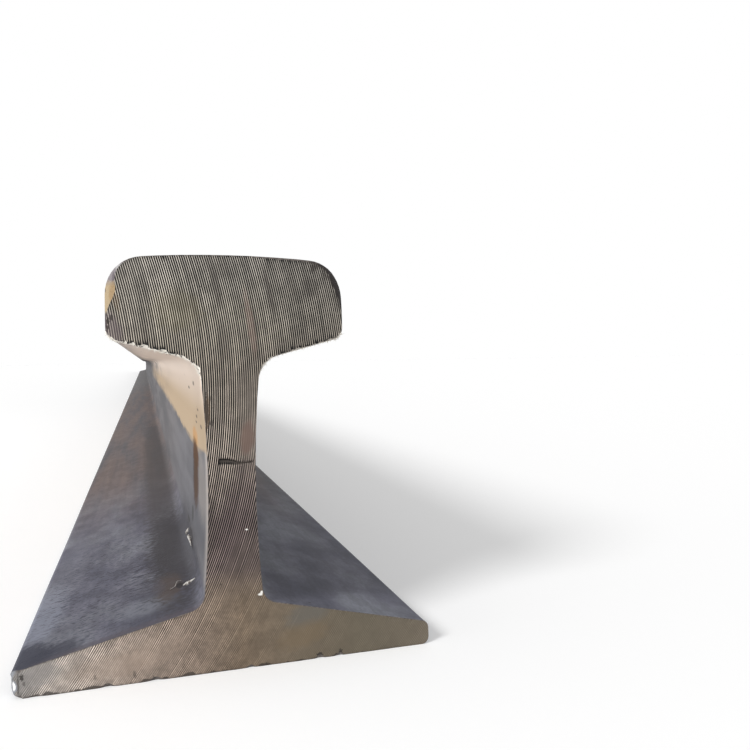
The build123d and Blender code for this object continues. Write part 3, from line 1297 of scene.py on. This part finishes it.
# Painted highlight: a pale strip down the left of the web, within a few millimetres of the sawn end.
near_edge_highlight = product(tree, web_share, rise(tree, y, 12, 2), rise(tree, z, 24, 48, 0.55, 1.0))
near_edge_highlight = product(tree, near_edge_highlight, rise(tree, x, 2, -2), 0.8)
tone = tinted(tree, near_edge_highlight, tone, near_edge_highlight_tint)
tone = stains(tree, tone, position, skin_spots)
tone = stains(tree, tone, position, one_tint(marks_and_chip_shadows, mark_and_shadow_tint), ragged=0.3, soft=0.2, grain=1.2)
print("spots on the skin:", len(light_spots) + len(skin_spots) + len(marks_and_chip_shadows))

# %% [markdown]
# A pale band lies on the left of the upper web and under the head, above a wavering line that
# climbs a little along the bar, and one rust run crosses that line. It is partly pale dust and partly
# painted sunlight, and it is painted brighter up towards the head's underside. A spot for each patch
# would take dozens, so the band is a mask made from the height above the line. The bands and flakes
# of the scale thin it too, so that both break up alike.

# %% Dust and painted sunlight, rust and finish
low_dust_and_light, high_dust_and_light = screen_colour(172, 150, 122), screen_colour(246, 229, 214)
fleck_tint = (70, 58, 46)
pit_tint = (50, 46, 48)
relief_depth, relief_strength = 0.0002, 0.6
rust_spots = [
    ((-6, 45, 57.0), (4, 12, 2.8), (180, 136, 86), 0.75),
    ((-6, 47, 51.2), (4, 13, 4.6), (80, 54, 34), 0.94),
    ((-6, 48, 43.0), (4, 11, 8.0), (71, 51, 36), 0.88),
]
dust_flecks = [
    ((-6, 61, 72.0), (4, 4, 0.5), 0.85),
    ((-6, 35, 74.0), (4, 4, 0.7), 0.70),
    ((-6, 33, 64.2), (4, 3, 0.5), 0.85),
    ((-6, 17, 62.4), (4, 3, 0.6), 0.85),
    ((-6, 36, 62.3), (4, 3, 0.4), 0.80),
    ((-6, 26, 66.6), (4, 3, 0.4), 0.75),
]

# Dust and painted sunlight: a pale band above a wavering line along the upper web.
dust_and_light_line = calc(tree, "ADD", rise(tree, y, 20, 420, 53.4, 57.2), rise(tree, y, 40, 0, 0.0, 2.8))
dust_and_light_waver = product(tree, calc(tree, "SUBTRACT", fine_bands, 0.5), 3.0)
dust_and_light_flakes = product(tree, calc(tree, "SUBTRACT", flakes, 0.5), rise(tree, y, 40, 300, 2.0, 9.0))
dust_and_light_waver = calc(tree, "ADD", dust_and_light_waver, dust_and_light_flakes)
above_line = calc(tree, "SUBTRACT", calc(tree, "ADD", z, dust_and_light_waver), dust_and_light_line)
dust_and_light = rise(tree, above_line, rise(tree, y, 120, 500, -0.8, -4.5), 1.6)
dust_and_light = product(tree, dust_and_light, rise(tree, z, 88, 84), rise(tree, x, 2, -2))
worn_dust_and_light = product(tree, rise(tree, long_bands, 0.62, 0.42), rise(tree, y, 150, 700), 0.5)
dust_and_light = product(tree, dust_and_light, remainder(tree, worn_dust_and_light), rise(tree, y, 1600, 500), 0.95)
# Painted sunlight: the band turns from tan to near white up towards the head's underside.
dust_and_light_tone = blend(tree, rise(tree, z, 64, 80), low_dust_and_light, high_dust_and_light)
dust_and_light_tone = scaled(tree, dust_and_light_tone, rise(tree, y, 0, 60, 0.89, 1.0))
tone = blend(tree, dust_and_light, tone, dust_and_light_tone)

tone = stains(tree, tone, position, rust_spots + one_tint(dust_flecks, fleck_tint), soft=0.35)
pits = specks(tree, position, 7.0, 0.09)
tone = tinted(tree, product(tree, pits, 0.7), tone, pit_tint)
rust_run = patch(tree, position, (-6, 47, 46), (4, 13, 13), soft=0.35)
rust_roughness = rise(tree, rust_run, 0.0, 1.0, 0.68, 1.0)
relief = calc(tree, "SUBTRACT", product(tree, fine_bands, 0.4), calc(tree, "ADD", stroke_mask, pits))
relief = {"Height": relief, "Distance": relief_depth, "Strength": relief_strength}
relief = add_node(tree, "ShaderNodeBump", relief).outputs[0]
skin_finish = {"Base Color": tone, "Roughness": rust_roughness, "Specular IOR Level": 0.25, "Normal": relief}
set_inputs(tree, surface, skin_finish)

for material in (sawn_end, cut_edge, rolled_skin):
    rail.data.materials.append(material)
print("materials:", [material.name for material in rail.data.materials])

# %% [markdown]
# ## Bright steel
# Burr and swarf are fresh metal, pale and a little shiny, with specks of dirt. They could share one
# material, but the chips of swarf are greyer and dirtier than the burr. One function makes both,
# because only the tone and the amount of dirt differ.

# %% Bright steel
dirt_tint = (92, 84, 78)
dirt_edge = 0.12


def bright_steel(name, pale, dirt_start):
    """Pale metal that turns dark where a fine noise rises past dirt_start."""
    material, tree, surface = new_material(name)
    position, *_ = millimetres(tree)
    dirt = rise(tree, streaks(tree, position, (1.1, 1.1, 1.1), 3.0), dirt_start, dirt_start + dirt_edge)
    tone = tinted(tree, dirt, screen_colour(*pale), dirt_tint)
    set_inputs(tree, surface, {"Base Color": tone, "Metallic": 0.3, "Roughness": 0.45})
    return material


burr.data.materials.append(bright_steel("bright_burr", (226, 221, 212), 0.62))
swarf.data.materials.append(bright_steel("grey_swarf", (192, 189, 184), 0.50))
print("materials in all:", len(bpy.data.materials))

# %% [markdown]
# ## Floor and light
# The rail stands on a plain white floor that runs out of sight. A soft sun from the left rakes across the
# sawn end, so the grooves catch it, a low lamp stands for the light that bright ground throws up, and
# an even white sky fills the rest at a plain level. More light could make the ground white, but it
# would bleach the steel. So only what the camera sees of floor and sky is lifted, and the shadow stays.

# %% Floor and sky
floor_size = 60.0
floor_grey = (0.86, 0.86, 0.86, 1)
floor_lift = 0.2
sky_light = 0.55


def seen_directly(tree):
    """1 for the camera's own rays and for mirrored or refracted ones, 0 for the light on the rail."""
    rays = add_node(tree, "ShaderNodeLightPath").outputs
    seen = calc(tree, "MAXIMUM", rays["Is Camera Ray"], rays["Is Glossy Ray"])
    return calc(tree, "MAXIMUM", seen, rays["Is Transmission Ray"])


floor_corners = np.array([(-1, -1, 0), (1, -1, 0), (1, 1, 0), (-1, 1, 0)]) * floor_size / 2
floor = new_mesh("floor", floor_corners, [(0, 1, 2, 3)])
floor_paint, tree, surface = new_material("floor_paint")
set_inputs(tree, surface, {"Base Color": floor_grey, "Roughness": 1.0, "Specular IOR Level": 0.0})
floor_glow = product(tree, seen_directly(tree), floor_lift)
set_inputs(tree, surface, {"Emission Color": full_light, "Emission Strength": floor_glow})
floor.data.materials.append(floor_paint)

world = bpy.data.worlds.new("studio")
bpy.context.scene.world = world
world.use_nodes = True
tree = world.node_tree
sky_strength = rise(tree, seen_directly(tree), 0, 1, sky_light, 1.0)
set_inputs(tree, tree.nodes["Background"], {"Color": full_light, "Strength": sky_strength})
print("floor in m:", floor_size, "sky:", sky_light)

# %% Lamps
sun_direction, sun_energy, sun_angle = (0.72, 0.45, -0.55), 2.2, 18.0
ground_direction, ground_energy = (1, 0, 0.05), 2.5
ground_width, ground_height = 1.2, 0.3
ground_left, ground_back, ground_up = -0.7, 0.25, 0.06


def add_lamp(name, kind, direction, energy):
    """A lamp that shines along a direction."""
    made = add_object(name, bpy.data.lights.new(name, kind))
    made.data.energy = energy
    made.rotation_euler = Vector(direction).to_track_quat("-Z", "Y").to_euler()
    return made


key = add_lamp("key", "SUN", sun_direction, sun_energy)
key.data.angle = radians(sun_angle)
bounce = add_lamp("bounce", "AREA", ground_direction, ground_energy)
bounce.data.shape = "RECTANGLE"
bounce.data.size = ground_width
bounce.data.size_y = ground_height
bounce.location = (ground_left, near_end * MM + ground_back, ground_up)
print("lamps:", [lamp.name for lamp in bpy.data.lights])

# %% [markdown]
# ## Attach to the body
# The surface rides on the rail's body and stands for its imported node.

# %% Finish
bpy.context.scene.view_settings.view_transform = "Standard"
for piece in (rail, burr, swarf):
    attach(piece, "root")
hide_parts("rail")
